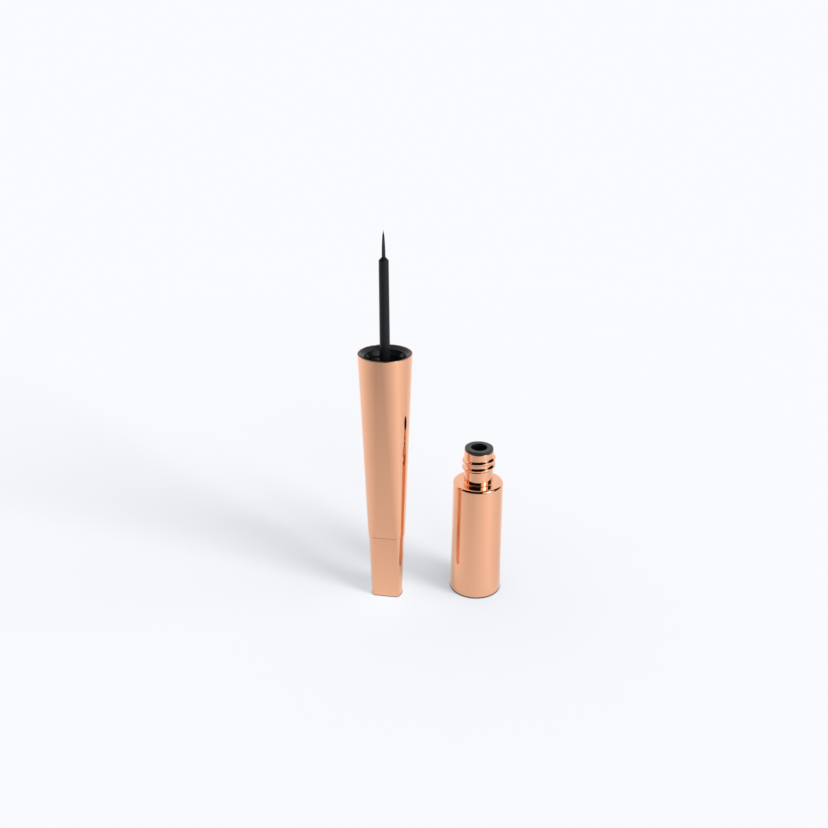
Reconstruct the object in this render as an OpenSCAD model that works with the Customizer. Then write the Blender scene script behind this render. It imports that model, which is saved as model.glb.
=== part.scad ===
// Liquid eyeliner pen, opened: the handle stands on its end with the brush up, beside its screw-neck bottle.
// The bottle's axis is the Z axis, the table is z = 0, and every length is in millimetres.

/* [Bottle] */
// Diameter of the bottle at its foot
bottle_foot_d = 14.9; // [13.6:0.1:18]
// Diameter of the bottle at its shoulder
bottle_shoulder_d = 14.3; // [13.2:0.1:18]
// Height of the shoulder above the table
bottle_h = 35.2; // [30:0.1:50]
// Thickness of the bottle's side and shoulder
bottle_wall = 1.3; // [0.9:0.1:1.6]
// Thickness of the bottle's floor
bottle_floor = 1.6; // [1:0.1:2.4]
// Rounding of the foot's outer edge
foot_edge_r = 0.6; // [0.3:0.05:0.8]
// Rounding of the shoulder's outer edge
shoulder_edge_r = 0.9; // [0.3:0.05:1.2]

/* [Neck] */
// Diameter of the neck between the threads
neck_d = 8.3; // [7.9:0.05:8.5]
// Height of the neck above the shoulder
neck_h = 9.7; // [9.2:0.1:12]
// Bore of the neck
neck_bore_d = 6.2; // [5.7:0.05:6.5]
// Height of the thread's ridge above the neck
thread_ridge = 0.55; // [0.4:0.05:0.6]
// Rise of the thread in one turn
thread_pitch = 2.05; // [1.9:0.05:2.3]
// Turns of the bottle's thread
thread_turns = 1.74; // [1.25:0.01:1.9]
// Height of the thread's start above the shoulder
thread_start_h = 4.1; // [3.2:0.1:4.4]
// Direction in which the bottle's thread starts, in degrees from +X
thread_start_turn = 135; // [0:5:355]

/* [Wiper] */
// Diameter of the wiper's flange on the neck
wiper_flange_d = 8; // [7:0.05:8.1]
// Thickness of the wiper's flange
wiper_flange_t = 0.75; // [0.6:0.05:1.2]
// Diameter of the wiper's mouth
wiper_mouth_d = 4.5; // [3.8:0.05:4.6]
// Length of the wiper below its flange
wiper_len = 8.4; // [7:0.1:9.4]
// Thickness of the wiping lip
wiper_lip_t = 0.45; // [0.35:0.05:0.7]

/* [Liner] */
// Height of the air left over the liquid, below the shoulder's underside
headspace_h = 5.9; // [5.2:0.1:9]

/* [Handle] */
// Diameter of the handle's round mouth
mouth_d = 14.8; // [14.4:0.1:18]
// Height of the whole handle, from its end on the table to its mouth
handle_len = 74.3; // [66:0.1:90]
// Height of the separate end piece, up to the seam
end_len = 19.8; // [14:0.1:26]
// Width of the shell at the seam, along its flat front
seam_w = 10.7; // [9.4:0.1:12]
// Width of the end piece on the table, along its flat front
end_w = 8.9; // [8:0.1:10]
// How far the end piece stands back from the shell at the seam
seam_step = 0.16; // [0.04:0.02:0.3]
// How far the widest part of the shell's section lies in front of the handle's axis at the seam
seam_middle = 1; // [0.4:0.1:1.4]
// How far the widest part of the end piece's section lies in front of the handle's axis on the table
end_middle = 1.4; // [0.6:0.1:1.6]
// Radius of the shell's sides at the seam
seam_side_r = 4.3; // [3.8:0.1:5]
// Radius of the end piece's sides on the table
end_side_r = 4.9; // [3.8:0.1:5.4]
// Radius of the edges beside the shell's flat front at the seam
seam_edge_r = 2; // [1.4:0.1:2.6]
// Radius of the edges beside the end piece's flat front on the table
end_edge_r = 0.5; // [0.4:0.05:1.2]
// Thickness of the shell's and the end piece's walls
shell_wall = 1; // [0.7:0.05:1.2]
// Width of the shell's rim around the lip of the inner cap
rim_w = 0.25; // [0.2:0.05:0.6]

/* [Inner cap] */
// Thickness of the inner cap's wall between its threads
cap_wall = 1; // [0.9:0.05:1.2]
// How much wider the bore is at the lip, on each side
lead_in = 0.65; // [0.3:0.05:0.7]
// Thickness of the lip
lip_t = 0.8; // [0.6:0.05:1.2]
// Clearance between the bottle's thread and the inner cap's bore
thread_gap = 0.2; // [0.1:0.05:0.3]
// Clearance between the neck and the inner cap's thread
ridge_gap = 0.35; // [0.2:0.05:0.4]
// Thickness of the inner cap's ceiling
ceiling_t = 1.6; // [1.2:0.1:2.4]
// Thickness of the sealing washer
washer_t = 0.8; // [0.7:0.05:1.2]
// Turns of the inner cap's thread
cap_thread_turns = 1.5; // [1:0.05:1.75]

/* [Stem] */
// Diameter of the stem where it leaves the inner cap
stem_d = 2.84; // [2.6:0.02:3.2]
// Diameter of the stem below its nose
stem_tip_d = 2.6; // [2.4:0.02:2.8]
// Diameter of the stem's flat nose
stem_nose_d = 1.26; // [1.2:0.02:1.5]
// Length of the tapered nose
stem_nose_len = 0.7; // [0.4:0.05:1.2]
// Bore along the stem
stem_bore_d = 1.8; // [1.6:0.05:2]
// Diameter of the stem's plug in the inner cap
plug_d = 3.6; // [3.4:0.05:4]
// Length of the plug
plug_len = 6.2; // [5:0.1:9]

/* [Brush] */
// Diameter of the tuft at its root
brush_d = 0.94; // [0.8:0.02:1]
// Length of the tuft
brush_len = 6.8; // [5:0.1:9]
// Rings of bristles around the tuft's axis
bristle_rings = 10; // [10:1:11]
// Length of the ferrule that holds the tuft inside the stem
ferrule_len = 4; // [3:0.1:6]
// Largest angle to which the tuft bends, in degrees
brush_bend = 20; // [10:1:22]

/* [Layout] */
// Place of the handle's axis to the right of the bottle's axis
handle_x = -26; // [-60:0.1:-16]
// Place of the handle's axis behind the bottle's axis
handle_y = -2.1; // [-20:0.1:20]
// Turn of the handle's flat front away from the viewer, in degrees
handle_turn = -9.5; // [-45:0.5:45]

/* [Hidden] */
$fn = 96;

rose_gold = "#E3A884";
pale_rose_gold = "#EDB795";
black_gloss = "#1B1B1E";
black_matt = "#26262A";
liner_black = "#0B0B0D";
foam_grey = "#3A3A3E";
nylon_black = "#101013";
ferrule_grey = "#8C8C90";

// Clearances: pressed pieces have the first, the tuft in the stem's nose has what its own sizes leave
snug_gap = 0.02;
washer_gap = 0.05;
brush_floor_gap = 1.1;
brush_root_gap = 0.05;
overrun = 0.5;

// Bottle
foot_r = bottle_foot_d / 2;
shoulder_r = bottle_shoulder_d / 2;
cavity_foot_r = foot_r - bottle_wall;
cavity_top_r = shoulder_r - bottle_wall;
cavity_edge_r = 0.8;
shoulder_under_z = bottle_h - bottle_wall;
neck_r = neck_d / 2;
neck_bore_r = neck_bore_d / 2;
neck_top_z = bottle_h + neck_h;
neck_edge_r = 0.2;

// Threads: half heights of the ridge at its root, flank and crest
ridge_root_half = 0.62;
ridge_flank_half = 0.45;
ridge_crest_half = 0.24;
ridge_flank_share = 0.8;
ridge_sink = 0.12;
ridge_fade_turn = 36;
ridge_step_turn = 12;
cap_thread_top = 3.4;

// Wiper
wiper_flange_r = wiper_flange_d / 2;
wiper_mouth_r = wiper_mouth_d / 2;
wiper_tube_r = neck_bore_r - snug_gap;
wiper_top_z = neck_top_z + wiper_flange_t;
wiper_end_z = neck_top_z - wiper_len;
wiper_lip_h = 0.6;
wiper_cone_h = 2.4;
wiper_orifice_gap = 0.05;
wiper_orifice_r = stem_tip_d / 2 + wiper_orifice_gap;
wiper_chamfer = 0.25;

// Liner
fluid_top_z = shoulder_under_z - headspace_h;

// Handle
mouth_r = mouth_d / 2;
shell_len = handle_len - end_len;
spigot_len = 4.5;
end_floor = 1.2;
end_chamfer = 0.25;
least_edge_r = 0.2;
mouth_flat_half = 0.05;
shell_rings = 14;
cavity_rings = 8;
edge_steps = 8;
side_steps = 6;
back_steps = 24;

// Where the edge beside the flat front meets the side, in degrees from the section's widest line
seam_side_turn = 39;
end_side_turn = 30;

// Inner cap, measured down from the mouth
wiper_reach = neck_h + wiper_flange_t;
ceiling_depth = wiper_reach + washer_t;
cap_depth = ceiling_depth + ceiling_t;
lip_r = mouth_r - rim_w - snug_gap;
lip_chamfer = 0.3;
lead_in_depth = 1.2;
lead_in_cone = 1;
cap_bore_r = neck_r + thread_ridge + thread_gap;
cap_body_r = cap_bore_r + cap_wall;
cap_ridge = cap_bore_r - neck_r - ridge_gap;
lip_bore_r = cap_bore_r + lead_in;
boss_wall = 0.9;
plug_r = plug_d / 2;
boss_r = plug_r + snug_gap + boss_wall;
boss_depth = ceiling_depth + plug_len;

// Stem and brush, heights above the table
ceiling_z = handle_len - ceiling_depth;
brush_tip_z = handle_len + bottle_h - bottle_floor - brush_floor_gap;
nose_z = brush_tip_z - brush_len;
stem_flange_r = 2.2;
stem_flange_t = 0.6;
stem_bore_r = stem_bore_d / 2;
brush_r = brush_d / 2;
nose_hole_r = brush_r + brush_root_gap;
nose_hole_len = 1.4;
root_slice_t = 0.25;
ferrule_r = stem_bore_r - snug_gap;
ferrule_nose_r = nose_hole_r - brush_root_gap;
ferrule_top_z = nose_z - root_slice_t - brush_r * sin(brush_bend) - brush_root_gap;
washer_r = cap_bore_r - cap_ridge - washer_gap;
washer_hole_r = stem_flange_r + washer_gap;

// The tuft's outline: shares of its length, and the shares of its root width that they have
tuft_height_shares = [0.27, 0.7];
tuft_width_shares = [0.84, 0.62];
tip_width_share = 0.07;
strand_width_shares = [0.8, 0.72];
strand_shortest_share = 0.76;
strand_sides = 3;
strand_points_each = 2 * strand_sides + 1;

// The handle's section is flat in front and round at the back. It is a list of five numbers: half the width, how far
// in front of the axis it is widest, the radius of its sides, the radius of the edges beside the flat, and side turn.
function section_arc(middle, r, first, last, steps, z) = [
    for (i = [0:steps])
        let (turn = first + (last - first) * i / steps)
        [middle[0] + r * cos(turn), middle[1] + r * sin(turn), z]
];
function without_last(points) = [for (i = [0:len(points) - 2]) points[i]];

function section_ring(s, z) =
    let (side = [s[0] - s[2], -s[1]])
    let (edge = side + (s[2] - s[3]) * [cos(s[4]), -sin(s[4])])
    concat(
        without_last(section_arc(edge, s[3], -90, -s[4], edge_steps, z)),
        without_last(section_arc(side, s[2], -s[4], 0, side_steps, z)),
        without_last(section_arc([0, side[1]], s[0], 0, 180, back_steps, z)),
        without_last(section_arc([-side[0], side[1]], s[2], 180, 180 + s[4], side_steps, z)),
        section_arc([-edge[0], edge[1]], s[3], 180 + s[4], 270, edge_steps, z)
    );

// The same section moved inwards by inset on every side
function inner_section(s, inset) = [s[0] - inset, s[1], s[2] - inset, max(s[3] - inset, least_edge_r), s[4]];

// A form through rings of n points each, closed at both ends by a fan about the ring's middle
function ring_middle(ring) = [for (ring_point = ring) 1] * ring / len(ring);
function tube_faces(count, n) = concat(
    [for (i = [0:n - 1]) [count * n, i, (i + 1) % n]],
    [for (k = [0:count - 2]) for (i = [0:n - 1]) [k * n + i, (k + 1) * n + i, (k + 1) * n + (i + 1) % n]],
    [for (k = [0:count - 2]) for (i = [0:n - 1]) [k * n + i, (k + 1) * n + (i + 1) % n, k * n + (i + 1) % n]],
    [for (i = [0:n - 1]) [count * n + 1, (count - 1) * n + (i + 1) % n, (count - 1) * n + i]]
);

module ring_loft(rings) {
    ring_points = [for (ring = rings) for (p = ring) p];
    middles = [ring_middle(rings[0]), ring_middle(rings[len(rings) - 1])];
    polyhedron(
        points = concat(ring_points, middles),
        faces = tube_faces(len(rings), len(rings[0])),
        convexity = 4
    );
}

// The shell's section, from the flat-fronted one at the seam to the round mouth: its width and middle change evenly,
// its sides fill out late and the edges of its flat early
seam_section = [seam_w / 2, seam_middle, seam_side_r, seam_edge_r, seam_side_turn];
mouth_section = [mouth_r, 0, mouth_r - mouth_flat_half, mouth_r - mouth_flat_half, seam_side_turn];
section_powers = [1, 1, 1.5, 0.8, 1];
function shell_section(z) =
    let (share = max(0, z - end_len) / shell_len)
    [for (i = [0:4]) seam_section[i] + (mouth_section[i] - seam_section[i]) * pow(share, section_powers[i])];
function shell_ring(z, inset) = section_ring(inner_section(shell_section(z), inset), z);

// A thread's ridge: it climbs turning anticlockwise seen from above, and runs out at both ends
module thread_ridge_form(root_r, crest_r, start_z, turns) {
    steps = ceil(360 * turns / ridge_step_turn);
    way = crest_r > root_r ? 1 : -1;
    root = root_r - way * ridge_sink;
    profile_halves = [ridge_crest_half, ridge_flank_half, ridge_root_half];
    rings = [
        for (k = [0:steps])
            let (turn = 360 * turns * k / steps)
            let (fade = sin(90 * min(1, turn / ridge_fade_turn, (360 * turns - turn) / ridge_fade_turn)))
            let (run_out = root_r - way * ridge_sink / 2)
            let (crest = run_out + (crest_r - run_out) * fade)
            let (reaches = [crest, root + (crest - root) * ridge_flank_share, root])
            let (z = start_z + thread_pitch * turn / 360)
            let (low = [for (i = [0:2]) [reaches[i], -profile_halves[i]]])
            let (high = [for (i = [2:-1:0]) [reaches[i], profile_halves[i]]])
            let (outline = concat(low, high))
            [
                for (i = [0:5])
                    let (p = outline[way > 0 ? i : 5 - i])
                    [p[0] * cos(turn), p[0] * sin(turn), z + p[1]]
            ]
    ];
    ring_loft(rings);
}

module on_handle_axis() {
    translate([handle_x, handle_y, 0]) rotate([0, 0, handle_turn]) children();
}

module bottle_form() {
    rotate_extrude()
        difference() {
            union() {
                polygon([
                    [0, 0],
                    [foot_r - foot_edge_r, 0],
                    [foot_r, foot_edge_r],
                    [shoulder_r, bottle_h - shoulder_edge_r],
                    [shoulder_r - shoulder_edge_r, bottle_h],
                    [neck_r, bottle_h],
                    [neck_r, neck_top_z - neck_edge_r],
                    [neck_r - neck_edge_r, neck_top_z],
                    [0, neck_top_z],
                ]);
                translate([foot_r - foot_edge_r, foot_edge_r]) circle(foot_edge_r);
                translate([shoulder_r - shoulder_edge_r, bottle_h - shoulder_edge_r]) circle(shoulder_edge_r);
            }
            polygon([
                [0, bottle_floor],
                [cavity_foot_r - cavity_edge_r, bottle_floor],
                [cavity_foot_r, bottle_floor + cavity_edge_r],
                [cavity_top_r, shoulder_under_z - cavity_edge_r],
                [cavity_top_r - cavity_edge_r, shoulder_under_z],
                [neck_bore_r, shoulder_under_z],
                [neck_bore_r, neck_top_z + overrun],
                [0, neck_top_z + overrun],
            ]);
        }
}

module bottle() {
    color(rose_gold) {
        bottle_form();
        rotate([0, 0, thread_start_turn])
            thread_ridge_form(neck_r, neck_r + thread_ridge, bottle_h + thread_start_h, thread_turns);
    }
}

module wiper() {
    color(black_gloss)
        rotate_extrude()
            polygon([
                [wiper_mouth_r + wiper_chamfer, wiper_top_z],
                [wiper_flange_r - wiper_chamfer, wiper_top_z],
                [wiper_flange_r, wiper_top_z - wiper_chamfer],
                [wiper_flange_r, neck_top_z],
                [wiper_tube_r, neck_top_z],
                [wiper_tube_r, wiper_end_z + wiper_lip_h + wiper_cone_h],
                [wiper_orifice_r + wiper_lip_t, wiper_end_z + wiper_lip_h],
                [wiper_orifice_r + wiper_lip_t, wiper_end_z],
                [wiper_orifice_r, wiper_end_z],
                [wiper_orifice_r, wiper_end_z + wiper_lip_h],
                [wiper_mouth_r, wiper_end_z + wiper_lip_h + wiper_cone_h],
                [wiper_mouth_r, wiper_top_z - wiper_chamfer],
            ]);
}

function cavity_reach(z) =
    let (share = (z - bottle_floor - cavity_edge_r) / (shoulder_under_z - bottle_floor - 2 * cavity_edge_r))
    cavity_foot_r + (cavity_top_r - cavity_foot_r) * share;

module liner_fluid() {
    color(liner_black)
        rotate_extrude()
            polygon([
                [0, bottle_floor + snug_gap],
                [cavity_foot_r - cavity_edge_r - snug_gap, bottle_floor + snug_gap],
                [cavity_foot_r - snug_gap, bottle_floor + cavity_edge_r + snug_gap],
                [cavity_reach(fluid_top_z) - snug_gap, fluid_top_z],
                [0, fluid_top_z],
            ]);
}

module handle_shell() {
    bore_depth = cap_depth + snug_gap;
    inner_top_z = handle_len - bore_depth;
    spigot_top_z = end_len + spigot_len;
    cavity_levels = [
        for (k = [0:cavity_rings]) spigot_top_z + (inner_top_z - spigot_top_z) * k / cavity_rings
    ];
    color(rose_gold)
        on_handle_axis()
            difference() {
                ring_loft([
                    for (k = [0:shell_rings])
                        let (z = end_len + shell_len * k / shell_rings)
                        shell_ring(z, 0)
                ]);
                ring_loft([
                    for (z = concat([end_len - overrun, end_len], cavity_levels)) shell_ring(z, shell_wall)
                ]);
                translate([0, 0, inner_top_z - overrun])
                    cylinder(r = cap_body_r + snug_gap, h = bore_depth + 2 * overrun);
                translate([0, 0, handle_len - lip_t - snug_gap])
                    cylinder(r = lip_r + snug_gap, h = lip_t + overrun);
            }
}

// The end piece's section, from the table to the seam
end_section = [end_w / 2, end_middle, end_side_r, end_edge_r, end_side_turn];
end_seam_section = inner_section(seam_section, seam_step);
function end_piece_section(z) = end_section + (end_seam_section - end_section) * z / end_len;

module handle_end_piece() {
    spigot_inset = shell_wall + snug_gap;
    hollow_inset = spigot_inset + shell_wall;
    top_z = end_len + spigot_len;
    neck_z = end_len - overrun;
    color(pale_rose_gold)
        on_handle_axis()
            difference() {
                union() {
                    ring_loft([
                        section_ring(inner_section(end_section, end_chamfer), 0),
                        section_ring(end_piece_section(end_chamfer), end_chamfer),
                        section_ring(end_seam_section, end_len),
                    ]);
                    ring_loft([for (z = [neck_z, end_len, top_z]) shell_ring(z, spigot_inset)]);
                }
                ring_loft([
                    section_ring(inner_section(end_piece_section(end_floor), shell_wall), end_floor),
                    section_ring(inner_section(end_piece_section(neck_z), hollow_inset), neck_z),
                    section_ring(inner_section(end_seam_section, hollow_inset), end_len),
                    shell_ring(top_z + overrun, hollow_inset),
                ]);
            }
}

module inner_cap() {
    color(black_gloss)
        on_handle_axis()
            translate([0, 0, handle_len]) {
                rotate_extrude()
                    polygon([
                        [lip_bore_r + lip_chamfer, 0],
                        [lip_r, 0],
                        [lip_r, -lip_t],
                        [cap_body_r, -lip_t],
                        [cap_body_r, -cap_depth],
                        [boss_r, -cap_depth],
                        [boss_r, -boss_depth],
                        [plug_r + snug_gap, -boss_depth],
                        [plug_r + snug_gap, -ceiling_depth],
                        [cap_bore_r, -ceiling_depth],
                        [cap_bore_r, -lead_in_depth - lead_in_cone],
                        [lip_bore_r, -lead_in_depth],
                        [lip_bore_r, -lip_chamfer],
                    ]);
                thread_ridge_form(
                    cap_bore_r, cap_bore_r - cap_ridge, -cap_thread_top - thread_pitch * cap_thread_turns,
                    cap_thread_turns
                );
            }
}

module sealing_washer() {
    color(foam_grey)
        on_handle_axis()
            translate([0, 0, ceiling_z])
                difference() {
                    cylinder(r = washer_r, h = washer_t);
                    translate([0, 0, -overrun]) cylinder(r = washer_hole_r, h = washer_t + 2 * overrun);
                }
}

module applicator_stem() {
    flange_top_z = ceiling_z + stem_flange_t;
    nose_start_z = nose_z - stem_nose_len;
    bore_end_z = nose_z - nose_hole_len - (stem_bore_r - nose_hole_r);
    color(black_matt)
        on_handle_axis()
            rotate_extrude()
                polygon([
                    [stem_bore_r, ceiling_z - plug_len],
                    [plug_r, ceiling_z - plug_len],
                    [plug_r, ceiling_z],
                    [stem_flange_r, ceiling_z],
                    [stem_flange_r, flange_top_z],
                    [stem_d / 2, flange_top_z],
                    [stem_tip_d / 2, nose_start_z],
                    [stem_nose_d / 2, nose_z],
                    [nose_hole_r, nose_z],
                    [nose_hole_r, nose_z - nose_hole_len],
                    [stem_bore_r, bore_end_z],
                ]);
}

module brush_ferrule() {
    shoulder_z = nose_z - nose_hole_len - (ferrule_r - ferrule_nose_r) - snug_gap;
    color(ferrule_grey)
        on_handle_axis()
            rotate_extrude()
                polygon([
                    [0, ferrule_top_z - ferrule_len],
                    [ferrule_r, ferrule_top_z - ferrule_len],
                    [ferrule_r, shoulder_z],
                    [ferrule_nose_r, shoulder_z + (ferrule_r - ferrule_nose_r)],
                    [ferrule_nose_r, ferrule_top_z],
                    [0, ferrule_top_z],
                ]);
}

// The root disc is a net of triangles in rings, and a bristle rises from each triangle that has its base outwards
function root_count(k) = k == 0 ? 1 : 6 * k;
function root_index(k, j) = k == 0 ? 0 : 1 + 3 * k * (k - 1) + j % (6 * k);
function root_place(k, j) =
    let (reach = brush_r * k / bristle_rings)
    let (turn = k == 0 ? 0 : 60 * j / k)
    [reach * cos(turn), reach * sin(turn), 0];

function strand_corners(k, sextant, i) = [
    root_place(k - 1, sextant * (k - 1) + i),
    root_place(k, sextant * k + i),
    root_place(k, sextant * k + i + 1),
];

// One level of a bristle: the whole tuft drawn in by draw, and the bristle thinned about its own middle by thin
function strand_level(corners, draw, thin, z) =
    let (middle = (corners[0] + corners[1] + corners[2]) / 3)
    [for (p = corners) let (q = draw * (middle + thin * (p - middle))) [q[0], q[1], z]];

function strand_tip(corners, length_share) =
    let (middle = (corners[0] + corners[1] + corners[2]) / 3)
    let (last = tuft_height_shares[1])
    let (along = (length_share - last) / (1 - last))
    let (draw = tuft_width_shares[1] + (tip_width_share - tuft_width_shares[1]) * along)
    [draw * middle[0], draw * middle[1], brush_len * length_share];

module brush_tuft() {
    strands = [
        for (k = [1:bristle_rings]) for (sextant = [0:5]) for (i = [0:k - 1]) [k, sextant, i]
    ];
    root_total = root_index(bristle_rings, 0) + root_count(bristle_rings);
    under_first = root_total;
    under_count = root_count(bristle_rings);
    strand_first = under_first + under_count + 1;
    root_points = [for (k = [0:bristle_rings]) for (j = [0:root_count(k) - 1]) root_place(k, j)];
    under_points = [
        for (j = [0:under_count - 1]) root_place(bristle_rings, j) - [0, 0, root_slice_t]
    ];
    strand_points = [
        for (s = strands)
            let (corners = strand_corners(s[0], s[1], s[2]))
            let (length_share = 1 - (1 - strand_shortest_share) * (s[0] - 1) / (bristle_rings - 1))
            for (
                p = concat(
                    strand_level(corners, tuft_width_shares[0], strand_width_shares[0],
                                 brush_len * tuft_height_shares[0]),
                    strand_level(corners, tuft_width_shares[1], strand_width_shares[1],
                                 brush_len * tuft_height_shares[1]),
                    [strand_tip(corners, length_share)]
                )
            )
                p
    ];
    valley_faces = [
        for (k = [2:bristle_rings])
            for (sextant = [0:5])
                for (i = [0:k - 2])
                    [
                        root_index(k - 1, sextant * (k - 1) + i),
                        root_index(k - 1, sextant * (k - 1) + i + 1),
                        root_index(k, sextant * k + i + 1),
                    ]
    ];
    strand_faces = [
        for (n = [0:len(strands) - 1])
            let (k = strands[n][0])
            let (sextant = strands[n][1])
            let (i = strands[n][2])
            let (low = strand_first + strand_points_each * n)
            let (high = low + strand_sides)
            let (tip = high + strand_sides)
            let (foot = [
                root_index(k - 1, sextant * (k - 1) + i),
                root_index(k, sextant * k + i),
                root_index(k, sextant * k + i + 1),
            ])
            for (c = [0:strand_sides - 1])
                let (d = (c + 1) % strand_sides)
                for (
                    face = [
                        [foot[c], low + c, low + d],
                        [foot[c], low + d, foot[d]],
                        [low + c, high + c, high + d],
                        [low + c, high + d, low + d],
                        [high + c, tip, high + d],
                    ]
                )
                    face
    ];
    edge_first = root_index(bristle_rings, 0);
    edge_faces = [
        for (j = [0:under_count - 1])
            let (next = (j + 1) % under_count)
            for (
                face = [
                    [under_first + j, edge_first + j, edge_first + next],
                    [under_first + j, edge_first + next, under_first + next],
                    [under_first + under_count, under_first + j, under_first + next],
                ]
            )
                face
    ];
    color(nylon_black)
        on_handle_axis()
            translate([0, 0, nose_z])
                polyhedron(
                    points = concat(root_points, under_points, [[0, 0, -root_slice_t]], strand_points),
                    faces = concat(valley_faces, strand_faces, edge_faces),
                    convexity = 10
                );
}

bottle();
wiper();
liner_fluid();
handle_shell();
handle_end_piece();
inner_cap();
sealing_washer();
applicator_stem();
brush_ferrule();
brush_tuft();
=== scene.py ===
import math

import bpy
import numpy as np
from mathutils import Matrix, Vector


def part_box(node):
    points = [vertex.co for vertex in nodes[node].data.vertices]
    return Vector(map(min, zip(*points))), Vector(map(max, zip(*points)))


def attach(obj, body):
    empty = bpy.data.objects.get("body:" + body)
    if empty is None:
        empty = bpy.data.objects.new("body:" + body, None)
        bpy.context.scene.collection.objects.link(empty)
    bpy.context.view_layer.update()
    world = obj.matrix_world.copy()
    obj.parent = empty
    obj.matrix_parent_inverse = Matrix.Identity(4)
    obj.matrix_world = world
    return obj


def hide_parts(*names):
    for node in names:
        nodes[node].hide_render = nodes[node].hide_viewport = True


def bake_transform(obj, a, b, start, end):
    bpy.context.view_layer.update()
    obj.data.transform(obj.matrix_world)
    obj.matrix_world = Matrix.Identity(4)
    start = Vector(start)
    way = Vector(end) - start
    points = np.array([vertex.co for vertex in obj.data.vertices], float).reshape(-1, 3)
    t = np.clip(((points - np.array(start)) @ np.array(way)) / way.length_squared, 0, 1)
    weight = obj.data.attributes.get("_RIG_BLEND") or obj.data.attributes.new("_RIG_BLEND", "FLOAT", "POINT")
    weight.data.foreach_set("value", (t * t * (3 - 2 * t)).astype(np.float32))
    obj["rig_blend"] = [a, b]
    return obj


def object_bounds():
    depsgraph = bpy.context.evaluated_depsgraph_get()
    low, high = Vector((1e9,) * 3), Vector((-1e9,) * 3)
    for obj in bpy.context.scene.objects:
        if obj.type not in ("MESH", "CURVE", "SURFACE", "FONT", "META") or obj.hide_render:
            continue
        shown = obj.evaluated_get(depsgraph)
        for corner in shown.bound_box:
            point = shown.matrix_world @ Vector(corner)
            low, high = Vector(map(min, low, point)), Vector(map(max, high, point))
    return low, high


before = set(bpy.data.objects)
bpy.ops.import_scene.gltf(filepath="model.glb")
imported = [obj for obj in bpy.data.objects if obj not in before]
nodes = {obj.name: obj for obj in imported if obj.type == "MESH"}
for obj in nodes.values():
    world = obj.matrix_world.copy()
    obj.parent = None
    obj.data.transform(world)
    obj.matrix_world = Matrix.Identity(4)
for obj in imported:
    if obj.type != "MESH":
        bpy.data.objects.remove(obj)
cad_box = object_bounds()
MM = 0.001


def centre_of(node):
    low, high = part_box(node)
    return (low + high) / 2


def width_of(node):
    low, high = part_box(node)
    return (high.x - low.x) / MM


def top_of(node):
    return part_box(node)[1].z / MM


# Sizes that the frame gives
HANDLE_AXIS = centre_of("inner_cap")
HANDLE_TURN = math.radians(-9.5)
FOOT_R = width_of("bottle") / 2
NECK_TOP = top_of("bottle")
WIPER_TOP = top_of("wiper")
MOUTH_R = width_of("handle_shell") / 2
MOUTH_Z = top_of("handle_shell")
CAP_LIP_R = width_of("inner_cap") / 2
NOSE_Z = top_of("applicator_stem")
TIP_Z = top_of("brush_tuft")
CEILING_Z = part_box("sealing_washer")[0].z / MM
SEAM_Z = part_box("handle_shell")[0].z / MM

# Fillets of moulded edges, from the keenest to the roundest
KEEN = 0.03
FINE = 0.04
CRISP = 0.05
THIN = 0.08
SMALL = 0.1
EASED = 0.15
SOFT = 0.2
FULL = 0.25
BROAD = 0.3

# Bottle
SHOULDER_R = 7.15
SHOULDER_Z = 35.2
FOOT_EDGE = 0.6
SHOULDER_EDGE = 0.9
BOTTLE_WALL = 1.3
BOTTLE_FLOOR = 1.6
CAVITY_EDGE = 0.8
NECK_R = 4.15
NECK_BORE_R = 3.1
NECK_EDGE = 0.2
NECK_ROOT = 0.3

# Threads
THREAD_PITCH = 2.05
RIDGE_ROOT_HALF = 0.72
RIDGE_CREST_HALF = 0.2
RIDGE_FADE_TURN = 0.1
NECK_RIDGE = 0.55
NECK_THREAD_TURNS = 1.74
NECK_THREAD_START = 39.3
NECK_THREAD_DIRECTION = math.radians(135)
CAP_RIDGE = 0.4
CAP_THREAD_TURNS = 1.5
CAP_THREAD_DEPTH = 3.4
THREAD_ROW = 0.06

# Wiper
WIPER_FLANGE_R = width_of("wiper") / 2
WIPER_TUBE_R = 3.08
WIPER_RIM_EDGE = 0.22
WIPER_MOUTH_R = 2.25
WIPER_END = 36.5
WIPER_LIP_H = 0.6
WIPER_CONE_H = 2.4
WIPER_ORIFICE_R = 1.35
WIPER_LIP_T = 0.45

# Handle: its section is flat in front and round at the back, with wider arcs as its sides and tighter ones at
# the edges of the flat. A side turn is where an edge's arc meets a side's, from the section's widest line.
SEAM_HALF = 5.35
SEAM_MIDDLE = 1.0
SEAM_SIDE_R = 4.3
SEAM_EDGE_R = 2.0
SEAM_SIDE_TURN = math.radians(39)
SEAM_STEP = 0.16
SEAM_ROUNDING = 0.16
END_HALF = 4.45
END_MIDDLE = 1.4
END_SIDE_R = 4.9
END_EDGE_R = 0.5
END_SIDE_TURN = math.radians(30)
LEAST_EDGE_R = 0.2
SIDE_POWER = 1.5
EDGE_POWER = 0.8
SHELL_WALL = 1.0
SHELL_ROW = 0.6
RIM_W = 0.25
RIM_EDGE = 0.14
RIM_INNER_EDGE = 0.06
END_ROUNDING = 0.25
END_FLOOR = 1.2
END_ROW = 0.8
SPIGOT_LEN = 4.5
SNUG = 0.02
MERGE_WITHIN = 0.002

# Inner cap, measured down from the mouth
CAP_LIP_T = 0.8
CAP_LIP_EDGE = 0.14
CAP_LIP_LAND = 0.12
CAP_LIP_BORE_R = 5.55
CAP_FUNNEL = 0.9
CAP_BODY_R = 5.9
CAP_BORE_R = 4.9
CAP_LEAD_IN = 1.2
CAP_LEAD_CONE = 1.0
CAP_DEPTH = 12.85
CAP_CEILING = MOUTH_Z - CEILING_Z
BOSS_R = 2.72
BOSS_DEPTH = 17.45

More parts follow.
